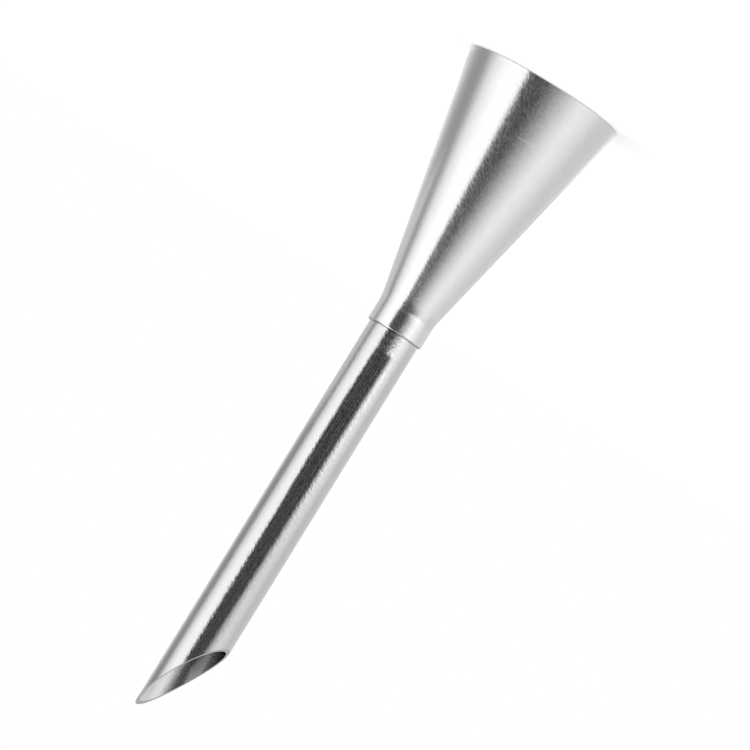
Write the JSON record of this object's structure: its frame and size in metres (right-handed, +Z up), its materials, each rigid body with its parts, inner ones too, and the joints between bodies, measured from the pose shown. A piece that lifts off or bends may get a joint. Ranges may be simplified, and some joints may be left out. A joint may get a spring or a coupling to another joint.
{
  "type": "doughnut filling nozzle",
  "caption": "Stainless-steel filling nozzle: a thin sheet cone with a short collar grips a long tube ground to a sharp bevel.",
  "frame": {"origin": "centre of the cone's mouth, in the plane of its rim", "axes": "+Z up the axis from the mouth to the tube's point, +X towards the side that the bevel's point is on"},
  "size_m": [0.025, 0.025, 0.1075],
  "materials": {
    "cone_steel": "satin, finely brushed round the axis",
    "tube_steel": "satin, fine grain"
  },
  "bodies": {
    "root": {"cone": "cone_steel", "tube": "tube_steel"}
  },
  "joints": []
}
